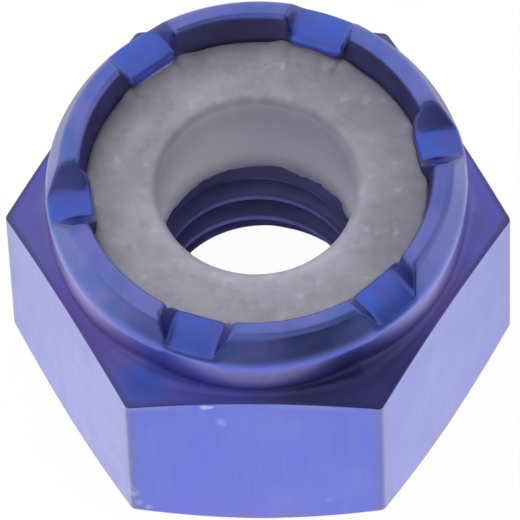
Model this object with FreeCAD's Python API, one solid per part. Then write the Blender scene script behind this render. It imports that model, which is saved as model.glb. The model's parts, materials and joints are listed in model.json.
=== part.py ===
import FreeCAD, Part
import math
import os

from FreeCAD import Vector

# A hexagon lock nut for a 3 mm thread, with a plastic locking ring held in a crimped collar.
# All sizes are in millimetres and all angles in degrees.
# The origin is the centre of the bearing face, and +Z runs towards the collar.
# One flat of the hexagon faces -Y, so two of its corners lie on the X axis.

# Thread bore, left at the diameter of the thread's crests
thread_diameter = 3.0
thread_pitch = 0.5
thread_length = 1.98
mouth_overcut = 0.225
mouth_angle = 45.0

# Hexagon
flats_width = 5.5
hexagon_height = 2.966
corner_round = 0.08
bearing_inset = 0.03
bearing_chamfer_angle = 28.0
shoulder_chamfer_angle = 16.0

# Collar, slightly narrower at its root, and its crimped lip
collar_inset = 0.106
collar_wall = 0.344
collar_waist = 0.034
collar_root_round = 0.16
roll_drop = 0.42
roll_in = 0.205
roll_round = 0.45
lip_rise = 0.497
lip_overhang = 0.085
lip_outer_round = 0.14
lip_inner_round = 0.07

# Crimp that traps the locking ring
crimp_depth = 0.25
crimp_bite = 0.154

# Locking ring
ring_thickness = 1.573
ring_hole_diameter = 2.48
ring_hole_round = 0.12

# Stakes, punched down into the lip and inwards over the ring
stake_count = 6
stake_turn = 11.3
stake_depth = 0.26
stake_floor_width = 0.4
stake_flare_angle = 46.0
stake_tongue_width = 0.74
stake_push = 0.175
stake_bite = 0.05
stake_nose_round = 0.16

# Room that a cutting shape keeps beyond the surface that it cuts
cut_room = 0.5

# Radii and heights that follow from the sizes above
flat_radius = flats_width / 2
corner_radius = flat_radius / math.cos(math.radians(30.0))
bearing_radius = flat_radius - bearing_inset
thread_radius = thread_diameter / 2
crest_radius = thread_radius - 5 / 8 * math.cos(math.radians(30.0)) * thread_pitch
mouth_radius = thread_radius + mouth_overcut
mouth_depth = (mouth_radius - crest_radius) / math.tan(math.radians(mouth_angle))
lead_depth = (thread_radius - crest_radius) / math.tan(math.radians(mouth_angle))
collar_radius = flat_radius - collar_inset
waist_radius = collar_radius - collar_waist
ring_radius = collar_radius - collar_wall
nip_radius = ring_radius - crimp_bite
lip_inner_radius = ring_radius - lip_overhang
lip_outer_radius = collar_radius - roll_in
ring_top = thread_length + ring_thickness
crimp_start = ring_top - crimp_depth
nut_height = ring_top + lip_rise
roll_start = nut_height - roll_drop
bearing_rise = (corner_radius - bearing_radius) * math.tan(math.radians(bearing_chamfer_angle))
shoulder_fall = (corner_radius - waist_radius) * math.tan(math.radians(shoulder_chamfer_angle))
stake_floor = nut_height - stake_depth


def corner_arc(before, corner, after, radius):
    """Return the two ends and the middle of the arc that rounds one corner of an outline."""
    inward = (before - corner).normalize()
    onward = (after - corner).normalize()
    half_angle = inward.getAngle(onward) / 2
    reach = radius / math.tan(half_angle)
    centre = corner + (inward + onward).normalize() * (radius / math.sin(half_angle))
    middle = centre + (corner - centre).normalize() * radius
    return corner + inward * reach, middle, corner + onward * reach


def rounded_face(corners):
    """Make a flat face from (point, radius) corners, each with a tangent arc of its radius."""
    points = [point for point, radius in corners]
    edges = []
    starts = []
    ends = []
    for index, (point, radius) in enumerate(corners):
        before = points[index - 1]
        after = points[(index + 1) % len(points)]
        if radius > 0:
            start, middle, end = corner_arc(before, point, after, radius)
            edges.append(Part.Arc(start, middle, end).toShape())
        else:
            start = point
            end = point
        starts.append(start)
        ends.append(end)
    for index, end in enumerate(ends):
        edges.append(Part.LineSegment(end, starts[(index + 1) % len(starts)]).toShape())
    return Part.Face(Part.Wire(Part.__sortEdges__(edges)))


def turned(section):
    """Turn a list of (radius, height, round) corners about the nut's axis."""
    face = rounded_face([(Vector(radius, 0, height), arc) for radius, height, arc in section])
    return face.revolve(Vector(0, 0, 0), Vector(0, 0, 1), 360)


def hexagon_bar():
    """The drawn hexagon stock, with slightly rounded corners."""
    corners = []
    for step in range(6):
        angle = math.radians(60 * step)
        point = Vector(corner_radius * math.cos(angle), corner_radius * math.sin(angle), 0)
        corners.append((point, corner_round))
    return rounded_face(corners).extrude(Vector(0, 0, nut_height))


def turned_blank():
    """Both chamfers, the collar with its rolled lip, the ring's recess and the thread bore."""
    section = [
        (mouth_radius, 0, 0),
        (bearing_radius, 0, 0),
        (corner_radius, bearing_rise, 0),
        (corner_radius, hexagon_height - shoulder_fall, 0),
        (waist_radius, hexagon_height, collar_root_round),
        (collar_radius, roll_start, roll_round),
        (lip_outer_radius, nut_height, lip_outer_round),
        (lip_inner_radius, nut_height, lip_inner_round),
        (nip_radius, ring_top, 0),
        (ring_radius, crimp_start, 0),
        (ring_radius, thread_length, 0),
        (thread_radius, thread_length, 0),
        (crest_radius, thread_length - lead_depth, 0),
        (crest_radius, mouth_depth, 0),
    ]
    return turned(section)


def around(shape):
    """Copies of one shape at every stake."""
    copies = []
    for index in range(stake_count):
        copy = shape.copy()
        copy.rotate(Vector(0, 0, 0), Vector(0, 0, 1), stake_turn + 360 / stake_count * index)
        copies.append(copy)
    return copies


def stake_notch():
    """The wedge that one punch leaves across the lip, on the X axis, with sloping side walls."""
    start = lip_inner_radius - stake_push - cut_room
    top = nut_height + cut_room
    half_floor = stake_floor_width / 2
    half_top = half_floor + (top - stake_floor) * math.tan(math.radians(stake_flare_angle))
    corners = [
        Vector(start, -half_floor, stake_floor),
        Vector(start, half_floor, stake_floor),
        Vector(start, half_top, top),
        Vector(start, -half_top, top),
    ]
    wedge = Part.Face(Part.makePolygon(corners + corners[:1]))
    return wedge.extrude(Vector(collar_radius + cut_room - start, 0, 0))


def stake_tongue():
    """The nose of metal that one punch pushes inwards, with its foot sunk into the ring."""
    foot = ring_top - stake_bite
    half_width = stake_tongue_width / 2
    nose = lip_inner_radius - stake_push
    corners = [
        (Vector(ring_radius, -half_width, foot), 0),
        (Vector(ring_radius, half_width, foot), 0),
        (Vector(nose, half_width, foot), stake_nose_round),
        (Vector(nose, -half_width, foot), stake_nose_round),
    ]
    return rounded_face(corners).extrude(Vector(0, 0, stake_floor - foot))


def nut_body():
    """The metal nut: hexagon, collar and crimped lip in one piece."""
    body = turned_blank().common(hexagon_bar())
    body = body.cut(around(stake_notch()))
    return body.fuse(around(stake_tongue())).removeSplitter()


def locking_ring():
    """The plastic ring, dented on top by the foot of each tongue."""
    section = [
        (ring_hole_diameter / 2, thread_length, 0),
        (ring_radius, thread_length, 0),
        (ring_radius, crimp_start, 0),
        (nip_radius, ring_top, 0),
        (ring_hole_diameter / 2, ring_top, ring_hole_round),
    ]
    return turned(section).cut(around(stake_tongue()))


def single_solid(shape):
    """The one solid that a piece is made of."""
    if len(shape.Solids) != 1:
        raise ValueError("expected one solid, found {}".format(len(shape.Solids)))
    return shape.Solids[0]


def main():
    pieces = {"nut_body": nut_body, "locking_ring": locking_ring}
    os.makedirs("parts", exist_ok=True)
    for name, make in pieces.items():
        solid = single_solid(make())
        solid.exportStep("parts/{}.step".format(name))
        box = solid.BoundBox
        size = "{:.3f} x {:.3f} x {:.3f}".format(box.XLength, box.YLength, box.ZLength)
        print(name, "box", size, "volume {:.3f}".format(solid.Volume), "valid", solid.isValid())


main()
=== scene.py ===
import bpy
import bmesh
import json
import math
import numpy as np
from mathutils import Matrix, Vector


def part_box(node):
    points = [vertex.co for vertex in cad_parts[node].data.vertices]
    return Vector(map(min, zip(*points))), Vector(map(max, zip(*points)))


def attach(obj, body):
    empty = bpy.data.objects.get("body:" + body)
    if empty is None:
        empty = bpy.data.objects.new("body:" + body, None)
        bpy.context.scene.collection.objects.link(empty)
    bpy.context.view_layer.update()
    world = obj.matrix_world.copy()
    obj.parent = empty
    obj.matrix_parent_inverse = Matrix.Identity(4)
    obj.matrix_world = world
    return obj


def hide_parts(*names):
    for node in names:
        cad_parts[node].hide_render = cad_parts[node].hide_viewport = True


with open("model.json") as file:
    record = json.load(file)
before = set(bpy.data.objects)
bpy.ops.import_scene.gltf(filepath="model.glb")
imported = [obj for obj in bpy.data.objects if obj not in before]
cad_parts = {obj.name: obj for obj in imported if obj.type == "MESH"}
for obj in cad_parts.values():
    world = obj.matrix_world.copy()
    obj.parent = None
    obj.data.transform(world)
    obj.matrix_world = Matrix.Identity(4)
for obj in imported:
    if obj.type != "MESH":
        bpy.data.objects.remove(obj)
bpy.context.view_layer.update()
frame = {"nodes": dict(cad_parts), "record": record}
print("frame loaded:", sorted(frame["nodes"]))

mm = 0.001  # shapes are worked out in millimetres and stored in metres

# What the frame says about the nut, in mm
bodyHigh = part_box("nut_body")[1]
ringLow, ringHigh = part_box("locking_ring")
flatRadius = bodyHigh[1] / mm
nutHeight = bodyHigh[2] / mm
threadLength = ringLow[2] / mm
ringTop = ringHigh[2] / mm
ringRadius = ringHigh[0] / mm
threadMount = next(mount for mount in frame["record"]["mounts"] if mount["name"] == "thread")
crestRadius = threadMount["dims"]["r_mm"]

# The metal body: sizes in mm, angles in degrees
nutBody = {
    "cornerRound": 0.08,
    "edgeRound": 0.04,
    "bearingInset": 0.03,
    "bearingRound": 0.015,
    "bearingChamfer": 28.0,
    "hexagonHeight": 2.966,
    "shoulderChamfer": 16.0,
    "collarInset": 0.106,
    "collarWaist": 0.034,
    "collarRootRound": 0.45,
    "rollDrop": 0.42,
    "rollIn": 0.205,
    "rollRound": 0.45,
    "lipOverhang": 0.085,
    "lipOuterRound": 0.12,
    "outerRoundLost": 0.06,       # the outer round is this much smaller over a stake
    "lipInnerRound": 0.08,
    "innerRoundGained": 0.03,     # the inner round is this much larger on a tongue
    "lipClearance": 0.012,        # keeps the wavering lip under the nut's full height
    "lipWaver": 0.008,
    "topWaver": 0.0048,
    "tongueCalm": 0.7,            # share of the lip's waver that a tongue doesn't follow
    "crimpDepth": 0.25,
    "crimpBite": 0.154,
    "fillStep": 1.1,              # degrees between plain columns
    "cornerColumns": [0.25, 0.6, 1.0, 2.2],    # columns beside a corner, in half widths of its round
}

# The six stakes: a wedge punched down through the lip, and a tongue pushed in over the ring
stakes = {
    "count": 6,
    "turn": 11.3,
    "strayTurn": [1.6, -1.0, -2.0, -1.6, 1.2, 2.2],
    "depth": [0.26, 0.255, 0.265, 0.26, 0.26, 0.265],
    "outerDepth": 0.34,
    "tipDepth": 0.285,
    "floorWidth": [0.42, 0.66, 0.68, 0.40, 0.62, 0.60],
    "mouthWidth": [0.92, 0.86, 0.90, 0.92, 0.92, 0.92],
    "edgeSoftness": 0.14,
    "squeeze": [0.5, 0.7, 0.7, 0.5, 0.3, 0.3],    # how much of the ring's bulge stands beside each
    "push": 0.175,
    "noseHalfWidth": 0.40,
    "bite": 0.05,
    "footStep": 0.03,             # a tongue's foot stands this far behind its tip
    "centreRadius": 2.3,
    "parallelHalf": 0.48,         # columns run parallel this far to both sides, and fan out after the fade
    "parallelFade": 0.4,
    "columns": [0.05, 0.10, 0.135, 0.16, 0.18, 0.20, 0.22, 0.24, 0.27, 0.30, 0.33,
                0.36, 0.38, 0.395, 0.41, 0.43, 0.445, 0.46, 0.48, 0.51, 0.56],
}

# The thread: a right-hand helix of 60 degree grooves
thread = {
    "diameter": 3.0,
    "pitch": 0.5,
    "mouthOvercut": 0.225,
    "crestHeight": 0.144,         # height of a crest on the X axis
    "crestShare": 1 / 13,         # half a crest's width over the pitch
    "flankShare": 3 / 8,
    "rowsPerPitch": 16,
}

collarRadius = flatRadius - nutBody["collarInset"]
bearingRadius = flatRadius - nutBody["bearingInset"]
waistRadius = collarRadius - nutBody["collarWaist"]
lipInnerRadius = ringRadius - nutBody["lipOverhang"]
nipRadius = ringRadius - nutBody["crimpBite"]
rollStart = nutHeight - nutBody["rollDrop"]
crimpStart = ringTop - nutBody["crimpDepth"]
threadRadius = thread["diameter"] / 2
mouthRadius = threadRadius + thread["mouthOvercut"]
bearingSlope = math.tan(math.radians(nutBody["bearingChamfer"]))
shoulderSlope = math.tan(math.radians(nutBody["shoulderChamfer"]))
sixth = math.radians(60.0)
halfSixth = math.radians(30.0)
cornerRadius = flatRadius / math.cos(halfSixth)
roundCentre = cornerRadius - nutBody["cornerRound"] / math.sin(sixth)
roundReach = math.atan2(nutBody["cornerRound"] * math.sin(halfSixth),
                        roundCentre + nutBody["cornerRound"] * math.cos(halfSixth))


# Ramp from 0 at one value to 1 at the other, flat at both ends
def smoothStep(value, fromValue, toValue):
    share = np.clip((value - fromValue) / (toValue - fromValue), 0, 1)
    return share * share * (3 - 2 * share)


# Slow waver round the nut: six sines of whole periods, so that it closes on itself
def waver(angle, seed):
    draw = np.random.default_rng(seed)
    total = np.zeros_like(angle)
    for periods in (2, 3, 5, 8, 13, 21):
        size = draw.uniform(0.3, 1.0) / periods ** 0.6
        total += size * np.sin(periods * angle + draw.uniform(0, 2 * np.pi))
    return total


# Angles of the six stakes, each a little off its regular place
def stakeAngles():
    regular = np.arange(stakes["count"]) * (2 * np.pi / stakes["count"])
    return regular + np.radians(stakes["turn"] + np.array(stakes["strayTurn"]))


# The same distances to both sides of a middle
def bothSides(distances):
    side = np.array(distances)
    return np.concatenate([-side[::-1], [0.0], side])


# Angles of the columns: close together over each stake and each hexagon corner, and evenly filled between
def columnAngles():
    overStake = np.arcsin(bothSides(stakes["columns"]) / stakes["centreRadius"])
    overCorner = roundReach * bothSides(nutBody["cornerColumns"])
    overStakes = (stakeAngles()[:, None] + overStake).ravel()
    overCorners = (np.arange(6)[:, None] * sixth + overCorner).ravel()
    marks = np.sort(np.mod(np.concatenate([overStakes, overCorners]), 2 * np.pi))
    step = math.radians(nutBody["fillStep"])
    fill = np.arange(0.5, 2 * np.pi / step) * step
    gap = np.abs(fill[:, None] - marks[None])
    gap = np.minimum(gap, 2 * np.pi - gap).min(axis=1)
    angles = np.sort(np.concatenate([marks, fill[gap > 0.6 * step]]))
    keep = np.concatenate([[True], np.diff(angles) > math.radians(0.03)])
    angles = angles[keep] - angles[0]
    return np.concatenate([angles, [2 * np.pi]]) + marks[0]


theta = columnAngles()
turns = (theta[:, None] - stakeAngles()[None] + np.pi) % (2 * np.pi) - np.pi
nearestStake = np.abs(turns).argmin(axis=1)
turnFromStake = turns[np.arange(len(theta)), nearestStake]
sideways = stakes["centreRadius"] * np.sin(turnFromStake)  # mm from a column to its stake's centre line


# Polar radius of the hexagon: flats at the flat radius over a cosine, corners on small circles
def hexagonRadius(angle):
    fromCorner = (angle + halfSixth) % sixth - halfSixth
    flat = flatRadius / np.cos(np.abs(fromCorner) - halfSixth)
    inside = np.clip(nutBody["cornerRound"] ** 2 - (roundCentre * np.sin(fromCorner)) ** 2, 0, None)
    rounded = roundCentre * np.cos(fromCorner) + np.sqrt(inside)
    return np.where(np.abs(fromCorner) < roundReach, rounded, flat)


# A ramp with a soft start: half of a value plus the root of its square and a small constant's square
def softRamp(value):
    return 0.5 * (value + np.sqrt(value ** 2 + stakes["edgeSoftness"] ** 2))


# How much of its stake's full depth each column is cut: 1 over the flat floor, 0 outside the mouth and an
# even slope between, with both bends softened
def cutShare():
    mouthHalf = np.array(stakes["mouthWidth"])[nearestStake] / 2
    floorHalf = np.array(stakes["floorWidth"])[nearestStake] / 2
    slope = softRamp((mouthHalf - np.abs(sideways)) / (mouthHalf - floorHalf))
    return np.clip(1 - softRamp(1 - slope), 0, 1)


hexagon = hexagonRadius(theta)
stakeShare = cutShare()

# A tongue seen from above: its push at each column is the root of 1 less the fourth power of the distance
# from the centre line over the half width
nose = np.sqrt(np.clip(1 - (np.abs(sideways) / stakes["noseHalfWidth"]) ** 4, 0, 1))
tongueRadius = lipInnerRadius - stakes["push"] * nose
footRadius = np.minimum(nipRadius, tongueRadius + stakes["footStep"])
footHeight = ringTop - stakes["bite"] * nose


# The arc that rounds one corner: both sides are pulled back by the radius over the tangent of half the
# corner's angle, as far as there is room, and the arc turns evenly about a centre on the bisector
def cornerArc(corner, here, before, after, roomBefore, roomAfter):
    before, after = before - here, after - here
    lengthBefore = np.linalg.norm(before, axis=-1, keepdims=True)
    lengthAfter = np.linalg.norm(after, axis=-1, keepdims=True)
    before, after = before / lengthBefore, after / lengthAfter
    half = 0.5 * np.arccos(np.clip((before * after).sum(-1, keepdims=True), -0.999999, 1))
    room = np.minimum(roomBefore * lengthBefore, roomAfter * lengthAfter)
    reach = np.minimum(corner["round"] / np.tan(half), room)
    bisector = (before + after) / np.linalg.norm(before + after, axis=-1, keepdims=True)
    centre = here + bisector * (reach * np.tan(half)) / np.sin(half)
    start, end = here + before * reach - centre, here + after * reach - centre
    sweep = np.maximum(np.pi - 2 * half, 1e-4)
    return [centre + (np.sin((1 - share) * sweep) * start + np.sin(share * sweep) * end) / np.sin(sweep)
            for share in np.linspace(0, 1, corner["steps"] + 1)]


# Marks part of the way from one corner to the next
def mixedMarks(earlier, later, share):
    mixed = {key: earlier.get(key, 0.0) * (1 - share) + later.get(key, 0.0) * share
             for key in ("straight", "violet", "wall")}
    return {**mixed, "inside": later.get("inside", False)}


# Rows of a section from its corners, and the marks of each row. A corner with a round gets its arc, which
# takes less than half of each side, or most of a side that ends in a bend. A corner with a bend only steers a
# parabola from the arc before it to the arc after it. A fill divides the straight side up to its corner
def sectionRows(corners):
    places = [np.stack(np.broadcast_arrays(corner["r"] + 0 * theta, corner["z"] + 0 * theta), axis=-1)
              for corner in corners]
    arcs = []
    for index, corner in enumerate(corners):
        if "round" in corner:
            room = [0.9 if beside.get("bend") else 0.45 for beside in (corners[index - 1], corners[index + 1])]
            arcs.append(cornerArc(corner, places[index], places[index - 1], places[index + 1], *room))
        else:
            arcs.append([places[index]])
    rows, marks = [], []
    for index, corner in enumerate(corners):
        if corner.get("bend"):
            start, steer, end = arcs[index - 1][-1], places[index], arcs[index + 1][0]
            for share in np.linspace(0, 1, corner["bend"] + 2)[1:-1]:
                rows.append((1 - share) ** 2 * start + 2 * share * (1 - share) * steer + share ** 2 * end)
                marks.append(mixedMarks(corner, corners[index + 1], share))
            continue
        if corner.get("fill"):
            start, end = arcs[index - 1][-1], arcs[index][0]
            for share in np.linspace(0, 1, corner["fill"] + 2)[1:-1]:
                rows.append((1 - share) * start + share * end)
                marks.append(mixedMarks(corners[index - 1], corner, share))
        rows += arcs[index]
        marks += [corner] * len(arcs[index])
    return np.stack(rows), marks


# Radius of the thread at a height: crest, flank, root and flank again over one pitch, opened by the
# countersink at each end, where the 45 degree cone is wider than the groove
def threadRadiusAt(height, angle):
    pitch = thread["pitch"]
    along = (height - thread["crestHeight"] - pitch * angle / (2 * np.pi)) / pitch
    fromCrest = np.abs((along + 0.5) % 1.0 - 0.5)
    flankEnd = thread["crestShare"] + thread["flankShare"]
    groove = crestRadius + (threadRadius - crestRadius) * smoothStep(fromCrest, thread["crestShare"], flankEnd)
    mouthCone = mouthRadius - height
    leadCone = threadRadius - (threadLength - height)
    return np.maximum(groove, np.maximum(mouthCone, leadCone))


# Rows down the thread: each follows the helix, a small share of the pitch under the last, and all are held
# between the two ends of the thread
def threadRows():
    perPitch, pitch = thread["rowsPerPitch"], thread["pitch"]
    pitches = math.ceil(threadLength / pitch) + 2
    steps = np.arange(pitches * perPitch, -2 * perPitch - 1, -1) / perPitch
    height = thread["crestHeight"] + pitch * (steps[:, None] + theta[None] / (2 * np.pi))
    height = np.clip(height, 0, threadLength)
    return np.stack([threadRadiusAt(height, theta[None] + 0 * height), height], axis=-1)


# Stakes have parallel sides, so columns over them keep their distance from the stake's centre line: their
# angle is the arc sine of that distance over the radius
def straightened(radius, share):
    parallel = np.arcsin(np.clip(sideways / np.maximum(radius, 0.5), -0.9, 0.9)) - turnFromStake
    fadeEnd = stakes["parallelHalf"] + stakes["parallelFade"]
    return theta + share * smoothStep(np.abs(sideways), fadeEnd, stakes["parallelHalf"]) * parallel


# One closed surface from rows of (radius, height) over all columns: each row is turned about the axis, the
# last column meets the first, and the last row meets the first row
def turnedMesh(name, rows, straight, attributes, insideFrom=None):
    rowCount, columnCount = rows.shape[:2]
    angle = straightened(rows[..., 0], np.array(straight)[:, None])
    points = np.stack([rows[..., 0] * np.cos(angle), rows[..., 0] * np.sin(angle), rows[..., 1]], axis=-1)
    i, j = np.meshgrid(np.arange(rowCount), np.arange(columnCount - 1), indexing="ij")
    up = (i + 1) % rowCount
    quads = np.stack([i * columnCount + j, i * columnCount + j + 1,
                      up * columnCount + j + 1, up * columnCount + j], axis=-1).reshape(-1, 4)
    mesh = bpy.data.meshes.new(name)
    mesh.vertices.add(rowCount * columnCount)
    mesh.vertices.foreach_set("co", (points * mm).astype(np.float32).ravel())
    mesh.loops.add(quads.size)
    mesh.loops.foreach_set("vertex_index", quads.astype(np.int32).ravel())
    mesh.polygons.add(len(quads))
    mesh.polygons.foreach_set("loop_start", np.arange(0, quads.size, 4, dtype=np.int32))
    if insideFrom is not None:
        mesh.polygons.foreach_set("material_index", (i >= insideFrom).astype(np.int32).ravel())
    mesh.update(calc_edges=True)
    for key, values in attributes.items():
        layer = mesh.attributes.new(key, "FLOAT", "POINT")
        layer.data.foreach_set("value", np.broadcast_to(values, rows.shape[:2]).astype(np.float32).ravel())
    work = bmesh.new()
    work.from_mesh(mesh)
    bmesh.ops.remove_doubles(work, verts=work.verts, dist=0.0004 * mm)
    bmesh.ops.dissolve_degenerate(work, dist=0.0002 * mm, edges=work.edges)
    openEdges = sum(1 for edge in work.edges if not edge.is_manifold)
    work.to_mesh(mesh)
    work.free()
    weightNormals(mesh)
    piece = bpy.data.objects.new(name, mesh)
    bpy.context.scene.collection.objects.link(piece)
    print(name, "faces", len(mesh.polygons), "open edges", openEdges)
    return piece


# Vertex normals as the sum of the neighbouring faces' normals times their areas, so that wide flats
# stay flat beside their narrow rounded edges
def weightNormals(mesh):
    count = len(mesh.polygons)
    normals, areas = np.zeros(count * 3), np.zeros(count)
    mesh.polygons.foreach_get("normal", normals)
    mesh.polygons.foreach_get("area", areas)
    loopTotal = np.zeros(count, np.int32)
    mesh.polygons.foreach_get("loop_total", loopTotal)
    corners = np.zeros(len(mesh.loops), np.int32)
    mesh.loops.foreach_get("vertex_index", corners)
    owner = np.repeat(np.arange(count), loopTotal)
    weighted = normals.reshape(-1, 3) * areas[:, None]
    total = np.zeros((len(mesh.vertices), 3))
    np.add.at(total, corners, weighted[owner])
    total /= np.maximum(np.linalg.norm(total, axis=1, keepdims=True), 1e-30)
    mesh.polygons.foreach_set("use_smooth", np.ones(count, bool))
    mesh.normals_split_custom_set_from_vertices(total.tolist())


# Corners of the body's section, from the bearing face up the outside, over the lip and down to the foot of
# the recess. Marks: "straight" runs a row's columns parallel over the stakes, "rim" is the shoulder's edge,
# where a shade is painted, "violet" the shoulder and the collar's wall, where a violet sheen is painted, "wall"
# the rows that a stake cuts, "inside" the bore's finish
def bodyCorners():
    size = nutBody
    top = nutHeight - size["lipClearance"] + size["topWaver"] * waver(theta, seed=3)
    outerTop = top - stakes["outerDepth"] * stakeShare
    floorTop = top - np.array(stakes["depth"])[nearestStake] * stakeShare
    tipTop = top - stakes["tipDepth"] * stakeShare
    outer = collarRadius - size["rollIn"] * (outerTop - rollStart) / size["rollDrop"]
    inner = tongueRadius + size["lipWaver"] * waver(theta, seed=7) * (1 - size["tongueCalm"] * nose)
    crown = 0.5 * (floorTop - 0.5 * (outerTop + tipTop))
    outerRound = size["lipOuterRound"] - size["outerRoundLost"] * stakeShare[:, None]
    innerRound = size["lipInnerRound"] + size["innerRoundGained"] * nose[:, None]
    return [
        {"r": mouthRadius, "z": 0.0},
        {"r": bearingRadius, "z": 0.0, "round": size["bearingRound"], "steps": 2},
        {"r": hexagon, "z": (hexagon - bearingRadius) * bearingSlope, "round": size["edgeRound"], "steps": 4},
        {"r": hexagon, "z": size["hexagonHeight"] - (hexagon - waistRadius) * shoulderSlope,
         "round": size["edgeRound"], "steps": 4, "fill": 1, "rim": 1.0},
        {"r": waistRadius, "z": size["hexagonHeight"], "round": size["collarRootRound"], "steps": 12,
         "fill": 2, "violet": 1.0},
        {"r": collarRadius, "z": rollStart, "round": size["rollRound"], "steps": 10,
         "fill": 2, "violet": 1.0, "straight": 0.6},
        {"r": outer, "z": outerTop, "round": outerRound, "steps": 7, "fill": 4, "straight": 1.0, "wall": 1.0},
        {"r": 0.5 * (inner + outer), "z": floorTop + crown, "bend": 7, "straight": 1.0, "wall": 1.0},
        {"r": inner, "z": tipTop, "round": innerRound, "steps": 6, "straight": 1.0, "wall": 1.0},
        {"r": footRadius, "z": footHeight, "fill": 4, "straight": 1.0, "inside": True},
        {"r": ringRadius, "z": crimpStart, "fill": 1, "straight": 0.3, "inside": True},
        {"r": ringRadius, "z": threadLength},
    ]


# Where each finish of the body fades from 0 to 1, in mm above the start of the roll
fades = {
    "lip": (-0.10, 0.12),
    "stake": (-0.05, 0.10),
    "shoulder": (-0.03, -0.29),
    "violet": (-0.01, -0.38),
    "uprightBandHalfWidth": 0.11,        # of the greyer, darker band on each upright edge
    "edgeViolet": 0.85,           # share of violet on the shoulder's rounded edge
    "crestGroove": 0.3,           # groove runs from this at the crests to 1 at the roots
    "noGroove": 0.5,              # and has this value off the thread, where it changes nothing
    "slopeGain": 8,               # how soon a stake's side wall has its full painted shade
}


# Shares from 0 to 1 at each point that the finish reads: smooth steps of the height times the corners'
# marks, a bell curve of the distance to a hexagon corner, and the thread's depth
def bodyAttributes(rows, corners):
    radius, height = rows[..., 0], rows[..., 1]
    fade = {key: smoothStep(height, rollStart + fades[key][0], rollStart + fades[key][1])
            for key in ("lip", "stake", "shoulder", "violet")}
    rim, violet, wall = (np.array([corner.get(key, 0.0) for corner in corners])[:, None]
                         for key in ("rim", "violet", "wall"))
    firstViolet = int(np.argmax(violet > 0))  # violet starts on the upper half of the shoulder's rounded edge
    violet[firstViolet - 3:firstViolet + 2] = fades["edgeViolet"]
    fromEdge = np.abs((theta + halfSixth) % sixth - halfSixth) * cornerRadius
    uprightBand = np.exp(-(fromEdge / fades["uprightBandHalfWidth"]) ** 2)[None] * (radius > 0.98 * hexagon[None])
    depth = np.clip((radius - crestRadius) / (threadRadius - crestRadius), 0, 1)
    onThread = (radius < threadRadius + 0.001) & (height < threadLength)
    groove = fades["crestGroove"] + (1 - fades["crestGroove"]) * depth
    onSlope = np.minimum(1, fades["slopeGain"] * stakeShare * (1 - stakeShare))
    return {
        "lip": fade["lip"],
        "stake": stakeShare[None] * fade["stake"],
        "stakeWall": onSlope[None] * (wall == 1.0),
        "violet": violet * fade["violet"],
        "shoulder": (violet > 0) * fade["shoulder"],
        "uprightBand": uprightBand,
        "rim": rim,
        "groove": np.where(onThread, groove, fades["noGroove"]),
    }


# The body: its section's rows and the thread's rows, whose last one closes the loop at the bore's mouth
def makeNutBody():
    rows, corners = sectionRows(bodyCorners())
    helix = threadRows()
    rows = np.concatenate([rows[1:], helix])
    corners = corners[1:] + [{}] * len(helix)
    straight = [corner.get("straight", 0.0) for corner in corners]
    firstInside = next(index for index, corner in enumerate(corners) if corner.get("inside"))
    piece = turnedMesh("nut_body_dressed", rows, straight, bodyAttributes(rows, corners),
                       insideFrom=firstInside - 2)
    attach(piece, "root")
    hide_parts("nut_body")
    return piece


# The pale locking ring, in mm
lockingRing = {
    "holeRadius": 1.24,
    "holeRound": 0.12,
    "holeWaver": 0.004,
    "holeStray": 0.032,           # the hole sits this far towards the back
    "holeBurr": 0.085,            # torn plastic at the hole's lower edge
    "tornFrom": 48.0,             # degrees round the nut where it is torn most
    "tornSpread": 22.0,
    "tornLeast": 0.35,
    "clearance": 0.004,
    "bulge": 0.13,
    "bulgeReach": 0.15,
    "bulgeAside": (0.42, 0.14),   # beside a tongue: distance from its centre line, and spread
    "bulgeBeside": 0.8,           # its height there, as a share of the height at the tongue's tip
    "rise": 0.035,
    "riseReach": 0.07,
    "riseWaver": 0.6,
    "topWaver": 0.003,
    "topRows": 26,
    "lipShadow": 0.05,            # width of the darker line along the lip
    "holeShadow": (0.65, 0.035, 0.06),    # the one round the hole: share, distance from the hole, width
}


# Rows across the top, from the hole's rounded edge to the lip. The plastic swells beside each tongue, where
# the punch squeezed it, and rises along the lip, both as bell curves of the distance to the lip
def ringTopRows(hole, nip):
    size = lockingRing
    share = np.linspace(0, 1, size["topRows"] + 1)[1:, None] ** 0.75
    radius = (hole + size["holeRound"]) * (1 - share) + (nip - 0.002) * share
    toLip = nip - radius
    aside, spread = size["bulgeAside"]
    beside = np.maximum(nose, size["bulgeBeside"] * np.exp(-((np.abs(sideways) - aside) / spread) ** 2))
    beside = beside * np.array(stakes["squeeze"])[nearestStake]
    swell = size["bulge"] * beside * np.exp(-(toLip / size["bulgeReach"]) ** 2)
    rise = size["rise"] * (1 + size["riseWaver"] * waver(theta, seed=33))
    rise = rise * np.exp(-(toLip / size["riseReach"]) ** 2)
    height = ringTop + swell + rise + size["topWaver"] * waver(theta, seed=41) * share
    height = np.where(share > 0.999, footHeight - size["clearance"], height)
    return share, np.stack([radius, height], axis=-1)


# Rows down the hole to its torn lower edge, which closes in by a sum of wavers, most about one angle
def ringHoleRows(hole, low):
    size = lockingRing
    ragged = waver(theta, seed=55) + waver(3 * theta, seed=56) + waver(5 * theta, seed=57)
    ragged = np.clip(0.4 + 0.3 * (ragged + 0.8 * waver(9 * theta, seed=58)), 0, 1)
    torn = np.exp(-((np.degrees(theta) - size["tornFrom"]) / size["tornSpread"]) ** 2)
    burr = size["holeBurr"] * ragged * (size["tornLeast"] + (1 - size["tornLeast"]) * torn)
    # How far each row moves the hole's radius, and its height over the ring's underside
    shifts = [(0 * burr, 0.3), (-0.3 * burr, 0.09), (-burr, 0.04), (-0.8 * burr, 0.01), (0.05, 0.0)]
    return np.stack([np.stack([hole + shift, low + lift + 0 * theta], -1) for shift, lift in shifts])
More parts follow.
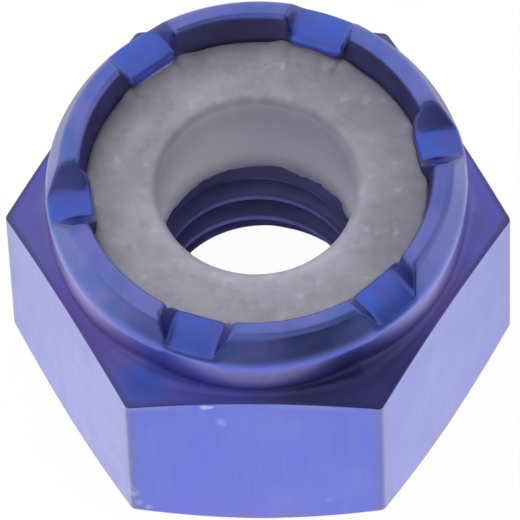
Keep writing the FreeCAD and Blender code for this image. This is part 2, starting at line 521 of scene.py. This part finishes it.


# The ring: one loop of rows that runs under it, up the outside, in over the top and down the hole, whose
# upper edge is a quarter circle. The finish reads how far down the hole a point is, where it paints light, and
# how near an edge, where it paints shade
def makeLockingRing():
    size = lockingRing
    gap = size["clearance"]
    nip = footRadius - gap
    low = threadLength + gap
    hole = size["holeRadius"] + size["holeWaver"] * waver(theta, seed=21) + size["holeStray"] * np.sin(theta)
    rounding = np.linspace(0, np.pi / 2, 9)[:, None]
    edge = np.stack([hole + size["holeRound"] * (1 - np.cos(rounding)),
                     ringTop - size["holeRound"] * (1 - np.sin(rounding)) + 0 * hole], axis=-1)
    share, top = ringTopRows(hole, nip)
    inside = ringHoleRows(hole, low)
    outside = np.stack([np.stack([ringRadius - gap + 0 * theta, height + 0 * theta], -1)
                        for height in (low, crimpStart - gap)])
    rows = np.concatenate([outside, top[::-1], edge[::-1], inside])
    straight = np.concatenate([[0.0, 0.3], share[::-1, 0] ** 3, np.zeros(len(edge) + len(inside))])
    radius, height = rows[..., 0], rows[..., 1]
    atLip = np.exp(-(np.maximum(nip - radius, 0) / size["lipShadow"]) ** 2)
    most, distance, width = size["holeShadow"]
    atHole = most * np.exp(-((radius - hole - distance) / width) ** 2)
    atHole = atHole * smoothStep(height, ringTop - 0.3, ringTop - 0.1)
    attributes = {
        # Where the hole's wall gets its painted light
        "bore": smoothStep(height, ringTop - 0.03, ringTop - 0.3) * smoothStep(radius, 1.8, 1.5),
        "edge": np.maximum(atLip, atHole),
    }
    piece = turnedMesh("locking_ring_dressed", rows, straight, attributes)
    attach(piece, "root")
    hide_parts("locking_ring")
    return piece


# A short way to add and join the nodes of one tree: an input takes a value or another node's output
class NodeTree:
    def __init__(self, tree):
        self.tree = tree

    def node(self, kind, inputs=None, **settings):
        made = self.tree.nodes.new(kind)
        for key, value in settings.items():
            setattr(made, key, value)
        for key, value in (inputs or {}).items():
            if isinstance(value, bpy.types.NodeSocket):
                self.tree.links.new(value, made.inputs[key])
            else:
                made.inputs[key].default_value = value
        return made

    def math(self, operation, a, b=0.0, c=0.0):
        return self.node("ShaderNodeMath", {0: a, 1: b, 2: c}, operation=operation).outputs[0]

    def add(self, a, b):
        return self.math("ADD", a, b)

    def times(self, a, b):
        return self.math("MULTIPLY", a, b)

    # A length, a distance or a dot product
    def measure(self, operation, a, b=(0.0, 0.0, 0.0)):
        return self.node("ShaderNodeVectorMath", {0: a, 1: b}, operation=operation).outputs["Value"]

    def ramp(self, source, low, high, lowTo=0.0, highTo=1.0, kind="LINEAR"):
        made = self.node("ShaderNodeMapRange", {"Value": source, "From Min": low, "From Max": high,
                                                "To Min": lowTo, "To Max": highTo}, interpolation_type=kind)
        return made.outputs["Result"]

    def ease(self, source, fromRange, toRange):
        return self.ramp(source, *fromRange, *toRange, kind="SMOOTHSTEP")

    # Whether a ray comes from the camera, and whether it comes from gloss or glass
    def rayKinds(self):
        path = self.node("ShaderNodeLightPath").outputs
        return path["Is Camera Ray"], self.math("MAXIMUM", path["Is Glossy Ray"], path["Is Transmission Ray"])


# A new material with its shader, whose patterns stand on Object coordinates
class Finish(NodeTree):
    def __init__(self, name):
        self.material = bpy.data.materials.new(name)
        self.material.use_nodes = True
        super().__init__(self.material.node_tree)
        self.shader = self.tree.nodes["Principled BSDF"]
        self.coordinates = self.node("ShaderNodeTexCoord").outputs["Object"]
        self.place = self.node("ShaderNodeSeparateXYZ", {"Vector": self.coordinates}).outputs

    def link(self, source, target):
        self.tree.links.new(source, self.shader.inputs[target])

    # Values and colours that are the same all over
    def even(self, **values):
        for key, value in values.items():
            self.shader.inputs[key.replace("_", " ")].default_value = value

    def attribute(self, name):
        return self.node("ShaderNodeAttribute", attribute_name=name).outputs["Fac"]

    def noise(self, scale, detail=3.0, roughness=0.5, vector=None):
        made = self.node("ShaderNodeTexNoise", {"Vector": vector or self.coordinates, "Scale": scale,
                                                "Detail": detail, "Roughness": roughness})
        return made.outputs["Fac"]

    # A ramp over a stretch in mm
    def stretch(self, source, fromTo, shares=(0.0, 1.0)):
        return self.ramp(source, fromTo[0] * mm, fromTo[1] * mm, *shares)

    # Clouds: scale per metre, detail, the band of the noise that counts and the shares at the band's ends
    def clouds(self, scale, detail, band, shares=(0.0, 1.0)):
        return self.ramp(self.noise(scale, detail), *band, *shares)

    def mix(self, factor, a, b):
        a, b = (value if isinstance(value, bpy.types.NodeSocket) else (*value, 1.0) for value in (a, b))
        return self.node("ShaderNodeMix", {0: factor, 6: a, 7: b}, data_type="RGBA").outputs[2]

    # A soft round patch about a place in mm; a ragged one has its edge moved by a fine noise
    def near(self, place, size, share, ragged=0.0):
        away = self.measure("DISTANCE", self.coordinates, tuple(value * mm for value in place))
        if ragged:
            reach = ragged * size * mm
            away = self.add(away, self.clouds(9000.0, 3.0, (0.3, 0.7), (-reach, reach)))
        return self.stretch(away, (size, 0.3 * size), (0.0, share))

    # Patches of painted light and shade, let through by a mask
    def patched(self, base, paintedLightPatches, mask=1.0):
        for place, size, share, colour in paintedLightPatches:
            base = self.mix(self.times(self.near(place, size, share), mask), base, colour)
        return base

    def bump(self, strength, distance, height):
        made = self.node("ShaderNodeBump", {"Strength": strength, "Distance": distance, "Height": height})
        self.link(made.outputs["Normal"], "Normal")


# Satin blue anodised aluminium. Clouds are as in the class above. Patches are a place and a size in mm, a
# share and a colour; chips are a place, a size and how pale they are
anodised = {
    "flatColour": (0.064, 0.104, 0.70),
    "grey": (0.22, 0.245, 0.62),
    "greyClouds": (700.0, 4.0, (0.45, 0.75), (0.0, 0.22)),
    "streakScale": 9000.0,
    "streakDraw": 0.09,           # streaks are drawn out along the height, the more the smaller this is
    "streakGrey": (0.42, 0.72, 0.0, 0.18),
    # The lip's paler, greyer tone is partly its own colour and partly a painted sheen
    "lipColourAndSheen": (0.180, 0.190, 0.61),
    "lipBlue": (0.090, 0.160, 0.56),
    "lipClouds": (1600.0, 3.0, (0.42, 0.60)),
    "lipToneClouds": (1300.0, 3.0, (0.2, 0.7), (0.7, 1.0)),
    # A painted shade: the lip darker on the right side
    "lipPaintedShade": [((2.55, -0.10, 3.60), 1.2, 0.65, (0.080, 0.105, 0.44))],
    "stakeColour": (0.038, 0.113, 0.64),
    "stakeDull": (0.070, 0.078, 0.46),
    "stakeClouds": (2600.0, 3.0, (0.42, 0.66), (0.0, 0.7)),
    "stakeWallShade": (0.052, 0.062, 0.32),
    # A painted sheen: the violet that the dye shows at grazing angles, put on the shoulder and the collar's
    # wall by place
    "violet": (0.133, 0.100, 0.41),
    "violetClouds": (500.0, 3.0, (0.35, 0.65), (0.55, 1.0)),
    "uprightBandColour": (0.10, 0.11, 0.30),
    "uprightBandShare": 0.5,
    "scuffStart": (0.008, 0.03),  # mm under the shoulder's edge
    "scuffEnd": (0.16, 0.04),
    "scuffClouds": (1600.0, 4.0, (0.35, 0.6)),
    "scuffShare": 0.5,
    "pinkEdge": (0.20, 0.09, 0.45),
    "pinkHeights": (0.30, 0.12),
    "pinkClouds": (2500.0, 3.0, (0.4, 0.6), (0.1, 0.5)),
    # A painted shade: a dark band on the shoulder along its edge over the flats
    "shoulderEdgeShade": (0.050, 0.048, 0.17),
    "shoulderShadeEnd": (0.03, 0.012),
    "shoulderShadeShare": 0.75,
    # Painted sheen and shade on the shoulder: a deeper violet to the left and right, darker in front on the
    # right, and a painted highlight of bright blue near the left front corner
    "paintedLightPatches": [
        ((-2.15, -1.60, 2.98), 1.05, 0.75, (0.100, 0.048, 0.36)),
        ((2.30, -1.30, 2.98), 0.95, 0.60, (0.125, 0.062, 0.37)),
        ((-0.45, -2.60, 3.05), 1.15, 0.85, (0.058, 0.060, 0.48)),
        ((0.90, -2.55, 3.05), 1.10, 0.90, (0.030, 0.025, 0.18)),
        ((1.80, -2.20, 2.90), 0.80, 0.75, (0.035, 0.024, 0.20)),
        ((-1.36, -2.40, 2.85), 0.44, 0.95, (0.018, 0.070, 0.52)),
    ],
    "wallHeights": (3.00, 3.08),  # the collar's wall, where the wall's painted light shows, starts here
    # Painted reflections on the collar's wall, a paler violet to the left and right, and a painted shade in
    # front
    "wallPaintedLight": [
        ((-2.30, -1.20, 3.15), 1.5, 0.90, (0.30, 0.20, 0.60)),
        ((2.40, -1.00, 3.15), 1.5, 0.50, (0.20, 0.16, 0.50)),
        ((0.35, -2.60, 3.20), 1.40, 0.75, (0.085, 0.078, 0.40)),
    ],
    "chipColour": (0.75, 0.76, 0.90),
    "chips": [
        ((-0.618, -2.75, 2.815), 0.06, 0.50),
        ((-0.550, -2.75, 2.820), 0.05, 0.40),
        ((-0.416, -2.75, 2.462), 0.10, 0.20),
        ((-1.607, -2.75, 0.605), 0.11, 0.25),
        ((-1.500, -2.75, 0.420), 0.09, 0.20),
        ((-1.637, -2.75, 0.835), 0.07, 0.25),
        ((-1.380, -2.75, 0.300), 0.07, 0.20),
        ((-1.550, -2.75, 0.680), 0.12, 0.12),
        ((0.900, -2.75, 0.500), 0.07, 0.12),
    ],
    "edgeTint": (0.95, 0.955, 1.0),
    "roughClouds": (2500.0, 5.0, (0.25, 0.75), (0.28, 0.38)),
    "streakRoughness": (0.3, 0.7, -0.03, 0.05),
    "violetRoughness": 0.14,
    "coatWeight": 1.0,
    "coatRoughness": 0.28,
    "coatIor": 1.5,
    "dentScale": 6000.0,
    "dentShare": 0.7,             # of the fine dents in the relief, beside the streaks
    "bumpStrength": 0.3,
    "bumpDepth": 0.006,
}


# How far a point of the body lies below the shoulder's cone: the cone's height at its radius less its own
def belowShoulder(finish):
    level = finish.node("ShaderNodeCombineXYZ", {"X": finish.place["X"], "Y": finish.place["Y"]}).outputs[0]
    coneHeight = (nutBody["hexagonHeight"] + waistRadius * shoulderSlope) * mm
    cone = finish.math("MULTIPLY_ADD", finish.measure("LENGTH", level), -shoulderSlope, coneHeight)
    return finish.math("SUBTRACT", cone, finish.place["Z"])


def makeAnodised():
    look = anodised
    finish = Finish("blueAnodised")
    read = {key: finish.attribute(key)
            for key in ("lip", "stake", "stakeWall", "violet", "shoulder", "uprightBand", "rim")}
    height = finish.place["Z"]
    below = belowShoulder(finish)

    # Flats, with grey clouds and upright streaks
    drawn = finish.node("ShaderNodeMapping", {"Vector": finish.coordinates,
                                              "Scale": (1.0, 1.0, look["streakDraw"])}).outputs["Vector"]
    streak = finish.noise(look["streakScale"], 3.0, 0.6, drawn)
    grain = finish.add(finish.clouds(*look["greyClouds"]), finish.ramp(streak, *look["streakGrey"]))
    base = finish.mix(grain, look["flatColour"], look["grey"])

    # The lip's tone, which is partly a painted sheen, the stakes, and a painted shade on the stakes' side walls
    lipTone = finish.mix(finish.clouds(*look["lipClouds"]), look["lipColourAndSheen"], look["lipBlue"])
    lipTone = finish.patched(lipTone, look["lipPaintedShade"])
    base = finish.mix(finish.times(read["lip"], finish.clouds(*look["lipToneClouds"])), base, lipTone)
    stakeTone = finish.mix(finish.clouds(*look["stakeClouds"]), look["stakeColour"], look["stakeDull"])
    base = finish.mix(read["stake"], base, stakeTone)
    # Painted shade on the stakes' side walls
    base = finish.mix(read["stakeWall"], base, look["stakeWallShade"])

    # Painted violet sheen on the shoulder and collar wall, and a greyer, darker band along the upright edges
    base = finish.mix(finish.times(read["violet"], finish.clouds(*look["violetClouds"])), base, look["violet"])
    base = finish.mix(finish.times(read["uprightBand"], look["uprightBandShare"]), base, look["uprightBandColour"])

    # A scuffed line on the flats just under the shoulder, a pink one at their foot, and a painted shade along
    # the shoulder's edge above
    scuffed = finish.stretch(below, look["scuffEnd"], (0.0, look["scuffShare"]))
    scuffed = finish.times(scuffed, finish.clouds(*look["scuffClouds"]))
    scuffed = finish.times(scuffed, finish.stretch(below, look["scuffStart"]))
    base = finish.mix(scuffed, base, look["grey"])
    pink = finish.times(finish.stretch(height, look["pinkHeights"]), finish.clouds(*look["pinkClouds"]))
    base = finish.mix(pink, base, look["pinkEdge"])
    rim = finish.times(read["rim"], finish.stretch(below, look["shoulderShadeEnd"], (0.0, look["shoulderShadeShare"])))
    base = finish.mix(rim, base, look["shoulderEdgeShade"])

    # Painted light and shade in patches on the shoulder and on the wall, then chips
    onWall = finish.times(read["violet"], finish.stretch(height, look["wallHeights"]))
    base = finish.patched(base, look["paintedLightPatches"], read["shoulder"])
    base = finish.patched(base, look["wallPaintedLight"], onWall)
    for place, size, pale in look["chips"]:
        base = finish.mix(finish.near(place, size, pale, ragged=0.3), base, look["chipColour"])
    finish.link(base, "Base Color")

    rough = finish.add(finish.clouds(*look["roughClouds"]), finish.ramp(streak, *look["streakRoughness"]))
    finish.link(finish.add(rough, finish.times(read["violet"], look["violetRoughness"])), "Roughness")
    finish.even(Metallic=1.0, Specular_Tint=(*look["edgeTint"], 1.0), Coat_Weight=look["coatWeight"],
                Coat_Roughness=look["coatRoughness"], Coat_IOR=look["coatIor"])
    relief = finish.add(streak, finish.times(finish.noise(look["dentScale"], 4.0), look["dentShare"]))
    finish.bump(look["bumpStrength"], look["bumpDepth"] * mm, relief)
    return finish.material


# The same finish inside, coarser, and darker as a painted shade of the bore and its crevices: cut thread, crimp
# and the lip's inner wall. Bands take the groove's depth from one value to another and give the shares at both;
# they paint a shade in the thread's roots and a highlight on its crests
bore = {
    "colour": (0.15, 0.15, 0.36),
    "dark": (0.12, 0.108, 0.24),
    "darkClouds": (1500.0, 4.0, (0.35, 0.7)),
    "groove": (0.125, 0.130, 0.34),
    "rootShadeBand": (0.55, 1.0, 0.0, 0.85),
    "crest": (0.19, 0.20, 0.48),
    "crestHighlightBand": (0.45, 0.3, 0.0, 0.7),
    "edgeTint": (0.20, 0.20, 0.36),
    "roughClouds": (4000.0, 4.0, (0.25, 0.75), (0.52, 0.66)),
    "dentScale": 9000.0,
    "bumpStrength": 0.4,
    "bumpDepth": 0.01,
}


def makeBoreFinish():
    look = bore
    finish = Finish("boreBlue")
    depth = finish.attribute("groove")
    base = finish.mix(finish.clouds(*look["darkClouds"]), look["colour"], look["dark"])
    # Painted shade in the thread's roots, and a painted highlight on its crests
    base = finish.mix(finish.ramp(depth, *look["rootShadeBand"]), base, look["groove"])
    base = finish.mix(finish.ramp(depth, *look["crestHighlightBand"]), base, look["crest"])
    finish.link(base, "Base Color")
    finish.link(finish.clouds(*look["roughClouds"]), "Roughness")
    finish.even(Metallic=1.0, Specular_Tint=(*look["edgeTint"], 1.0))
    finish.bump(look["bumpStrength"], look["bumpDepth"] * mm, finish.noise(look["dentScale"], 4.0))
    return finish.material


# Milky, mottled nylon that lets light through. Shifts push the clouds towards the pale tone or away from it,
# over stretches in mm: a painted light, paler towards the front, and a painted shade towards both sides
nylon = {
    "colour": (0.243, 0.232, 0.29),
    "pale": (0.327, 0.313, 0.38),
    "cloud": (1500.0, 8.0, 0.62),     # scale, detail and roughness of the noise
    "cloudBand": (0.38, 0.66),
    "frontToBack": (-2.0, 2.0),
    "frontLightShift": (0.20, 0.04),
    "middleToSide": (0.6, 2.2),
    "rightShadeShift": -0.36,
    "leftShadeShift": -0.12,
    "speck": (0.42, 0.40, 0.49),
    "specks": (4200.0, 2.0, (0.62, 0.74), (0.0, 0.6)),
    # Darker mottling, and a painted shade along the lip and round the hole
    "mottleAndShadeColour": (0.15, 0.14, 0.17),
    "ringEdgeShadeShare": 0.7,
    "mottle": (5200.0, 4.0, 0.6),
    "mottleBand": (0.5, 0.3, 0.0, 0.28),
    # Painted light: the hole's wall far paler than the top, as if lit through the plastic
    "holeWallLight": (0.81, 0.77, 0.93),
    "holeWallLightLeft": (1.0, 0.97, 1.0),
    "holeWallLightToLeft": (0.0, -0.9),    # painted light: the hole pales from its middle to its left side
    "roughness": 0.5,
    "glowDepth": 1.2,             # mm that light runs under the surface
    "dentScale": 3000.0,
    "bumpStrength": 0.4,
    "bumpDepth": 0.02,
}


def makeNylon():
    look = nylon
    finish = Finish("paleNylon")
    x, y = finish.place["X"], finish.place["Y"]
    # Painted light and shade: paler towards the front, darker towards the right and the left
    right = finish.stretch(x, look["middleToSide"], (0.0, look["rightShadeShift"]))
    left = finish.stretch(finish.times(x, -1.0), look["middleToSide"], (0.0, look["leftShadeShift"]))
    shift = finish.add(finish.stretch(y, look["frontToBack"], look["frontLightShift"]), finish.add(right, left))
    cloud = finish.add(finish.noise(*look["cloud"]), shift)
    base = finish.mix(finish.ramp(cloud, *look["cloudBand"]), look["colour"], look["pale"])
    base = finish.mix(finish.clouds(*look["specks"]), base, look["speck"])
    base = finish.mix(finish.ramp(finish.noise(*look["mottle"]), *look["mottleBand"]), base, look["mottleAndShadeColour"])
    # Painted light on the hole's wall
    holeWallLightTone = finish.mix(finish.stretch(x, look["holeWallLightToLeft"]), look["holeWallLight"], look["holeWallLightLeft"])
    base = finish.mix(finish.attribute("bore"), base, holeWallLightTone)
    # Painted shade: darker along the lip and round the hole's upper edge
    base = finish.mix(finish.times(finish.attribute("edge"), look["ringEdgeShadeShare"]), base, look["mottleAndShadeColour"])
    finish.link(base, "Base Color")
    finish.even(Roughness=look["roughness"], Subsurface_Weight=1.0, Subsurface_Radius=(1.0, 1.0, 1.0),
                Subsurface_Scale=look["glowDepth"] * mm)
    finish.bump(look["bumpStrength"], look["bumpDepth"] * mm, finish.noise(look["dentScale"], 4.0))
    return finish.material


body = makeNutBody()
ring = makeLockingRing()
body.data.materials.append(makeAnodised())
body.data.materials.append(makeBoreFinish())
ring.data.materials.append(makeNylon())
print("pieces made")

# The camera looks from this direction, in degrees, and this far off, in mm. The point on the nut's axis at
# the aim height shows at the aim pixel of the square frame, at this many pixels to a millimetre
camera = {
    "azimuth": 3.03,
    "elevation": 58.95,
    "roll": -2.35,
    "distance": 126.3,
    "aimHeight": 2.804,
    "aimPixel": (257.8, 218.3),
    "pixelsPerMm": 79.76,
    "frame": 520,
    "sensor": 36.0,
}


def makeCamera():
    size = camera
    azimuth, elevation, roll = (math.radians(size[key]) for key in ("azimuth", "elevation", "roll"))
    back = Vector((math.sin(azimuth) * math.cos(elevation), -math.cos(azimuth) * math.cos(elevation),
                   math.sin(elevation)))
    level = Vector((math.cos(azimuth), math.sin(azimuth), 0.0))
    steep = back.cross(level)
    right = math.cos(roll) * level + math.sin(roll) * steep
    up = -math.sin(roll) * level + math.cos(roll) * steep
    shown = Vector((0, 0, size["aimHeight"]))
    place = shown + back * size["distance"]
    middle = size["frame"] / 2
    aim = (shown + right * ((middle - size["aimPixel"][0]) / size["pixelsPerMm"])
           - up * ((middle - size["aimPixel"][1]) / size["pixelsPerMm"]))
    data = bpy.data.cameras.new("camera")
    data.sensor_width = size["sensor"]
    data.lens = size["pixelsPerMm"] * size["distance"] * size["sensor"] / size["frame"]
    data.clip_start, data.clip_end = 0.01, 10.0
    made = bpy.data.objects.new("camera", data)
    bpy.context.scene.collection.objects.link(made)
    forward = (aim - place).normalized()
    side = forward.cross(up).normalized()
    turn = Matrix((side, side.cross(forward), -forward)).transposed().to_4x4()
    made.matrix_world = Matrix.Translation(place * mm) @ turn
    bpy.context.scene.camera = made


makeCamera()
print("camera made")

# Studio, in metres: a pale floor under an even soft light. What the metal mirrors is set by place on the
# floor and by direction above it: the floor's white fades towards the front and the sides, a painted shadow of
# the nut darkens one spot behind it, and soft boxes stand in a dim room. Edges run from where a fade starts to
# where it ends
studio = {
    "floorSize": 0.6,
    "floorGap": 0.00001,          # the floor lies this little below the bearing face
    "floorColour": (0.90, 0.90, 0.92),
    "floorGlow": 0.97,            # share of plain white that the camera sees in the floor
    "whiteEdge": (0.10, 0.25),
    "frontTowards": (0.1, -1.0, 0.0),
    "frontEdge": (0.0054, 0.0115),
    "frontLevel": 0.33,
    "sideEdge": (0.0045, 0.009),
    "sideLevel": 0.80,
    "shadowSpotPlace": (0.0, 0.0055, 0.0),
    "shadowSpotEdge": (0.003, 0.0075),
    "shadowSpotLevel": 0.5,
    "evenLight": 0.80,
    "room": 0.25,
    "softBoxes": [
        {"towards": (-0.447, 0.894, 0.0), "edge": (-0.05, 0.16), "level": 0.80},      # all behind the nut
        {"towards": (-0.745, -0.298, 0.596), "edge": (0.68, 0.82), "level": 0.80},    # high on the left
        {"towards": (-0.497, -0.795, 0.348), "edge": (0.35, 0.62), "level": 0.50},    # wide, left in front
        {"towards": (0.949, 0.150, 0.280), "edge": (0.72, 0.88), "level": 0.65},      # low on the right
    ],
    "keyLamp": {"place": (-0.10, 0.10, 0.22), "size": 0.14, "power": 0.35},
    "darkCard": {"place": (0.0084, -0.0181), "size": (0.012, 0.011), "level": 0.02},
}


# The floor shows the camera nearly plain white with the nut's shadow, and the metal a white of its own
def makeFloor():
    look = studio
    half, low = look["floorSize"] / 2, -look["floorGap"]
    mesh = bpy.data.meshes.new("floor")
    mesh.from_pydata([(-half, -half, low), (half, -half, low), (half, half, low), (-half, half, low)],
                     [], [(0, 1, 2, 3)])
    floor = bpy.data.objects.new("floor", mesh)
    bpy.context.scene.collection.objects.link(floor)
    material = bpy.data.materials.new("paleFloor")
    material.use_nodes = True
    material.cycles.emission_sampling = "NONE"
    material.node_tree.nodes.clear()
    nodes = NodeTree(material.node_tree)
    seen, mirrored = nodes.rayKinds()
    place = nodes.node("ShaderNodeTexCoord").outputs["Object"]
    away = nodes.measure("LENGTH", place)
    toFront = nodes.measure("DOT_PRODUCT", place, look["frontTowards"])
    apart = nodes.measure("DISTANCE", place, look["shadowSpotPlace"])
    white = nodes.ease(away, look["whiteEdge"], (1.0, look["room"]))
    white = nodes.times(white, nodes.ease(toFront, look["frontEdge"], (1.0, look["frontLevel"])))
    white = nodes.times(white, nodes.ease(away, look["sideEdge"], (1.0, look["sideLevel"])))
    # A painted shadow of the nut on the floor behind it, which only the metal sees
    white = nodes.times(white, nodes.ease(apart, look["shadowSpotEdge"], (look["shadowSpotLevel"], 1.0)))
    white = nodes.math("MAXIMUM", white, look["room"])
    strength = nodes.math("MULTIPLY_ADD", white, mirrored, nodes.math("SUBTRACT", 1.0, mirrored))
    diffuse = nodes.node("ShaderNodeBsdfDiffuse", {"Color": (*look["floorColour"], 1.0)}).outputs[0]
    glow = nodes.node("ShaderNodeEmission", {"Strength": strength}).outputs[0]
    glowShare = nodes.math("MULTIPLY_ADD", seen, look["floorGlow"], mirrored)
    above = nodes.node("ShaderNodeMixShader", {0: glowShare, 1: diffuse, 2: glow}).outputs[0]
    fromBelow = nodes.node("ShaderNodeNewGeometry").outputs["Backfacing"]
    clear = nodes.node("ShaderNodeBsdfTransparent").outputs[0]  # shows the underside from below
    surface = nodes.node("ShaderNodeMixShader", {0: fromBelow, 1: above, 2: clear}).outputs[0]
    nodes.node("ShaderNodeOutputMaterial", {0: surface})
    mesh.materials.append(material)


# A lamp high behind on the left, which the metal doesn't mirror
def makeKeyLamp():
    look = studio["keyLamp"]
    data = bpy.data.lights.new("keyLamp", "AREA")
    data.size = look["size"]
    data.energy = look["power"]
    made = bpy.data.objects.new("keyLamp", data)
    made.location = look["place"]
    made.rotation_euler = Vector(look["place"]).to_track_quat("Z", "Y").to_euler()
    made.visible_glossy = False
    bpy.context.scene.collection.objects.link(made)


# A dark card that stands to the right in front, seen by the metal alone
def makeDarkCard():
    look = studio["darkCard"]
    width, height = look["size"]
    foot = Vector((*look["place"], 0))
    away = foot.normalized()
    side = Vector((-away.y, away.x, 0)) * (width / 2)
    lift = Vector((0, 0, height))
    mesh = bpy.data.meshes.new("darkCard")
    mesh.from_pydata([foot - side, foot + side, foot + side + lift, foot - side + lift], [], [(0, 1, 2, 3)])
    card = bpy.data.objects.new("darkCard", mesh)
    bpy.context.scene.collection.objects.link(card)
    card.visible_camera = card.visible_diffuse = card.visible_shadow = False
    material = bpy.data.materials.new("darkCard")
    material.use_nodes = True
    shader = material.node_tree.nodes["Principled BSDF"]
    shader.inputs["Base Color"].default_value = (look["level"],) * 3 + (1.0,)
    shader.inputs["Roughness"].default_value = 1.0
    mesh.materials.append(material)


# The world is white to the camera, an even light to the nut, and the room with its soft boxes to the metal
def makeWorld():
    look = studio
    world = bpy.data.worlds.new("studioWorld")
    world.use_nodes = True
    world.cycles.sampling_method = "NONE"
    bpy.context.scene.world = world
    nodes = NodeTree(world.node_tree)
    background = world.node_tree.nodes["Background"]
    background.inputs["Color"].default_value = (1, 1, 1, 1)
    direction = nodes.node("ShaderNodeTexCoord").outputs["Generated"]
    seen, mirrored = nodes.rayKinds()
    shown = look["room"]
    for box in look["softBoxes"]:
        towards = nodes.measure("DOT_PRODUCT", direction, box["towards"])
        shown = nodes.math("MAXIMUM", shown, nodes.ease(towards, box["edge"], (look["room"], box["level"])))
    other = nodes.math("SUBTRACT", nodes.math("SUBTRACT", 1.0, mirrored), seen)
    strength = nodes.math("MULTIPLY_ADD", other, look["evenLight"], nodes.times(shown, mirrored))
    world.node_tree.links.new(nodes.add(strength, seen), background.inputs["Strength"])


makeFloor()
makeKeyLamp()
makeDarkCard()
makeWorld()
bpy.context.scene.view_settings.view_transform = "Standard"
print("studio made")

bpy.context.view_layer.update()
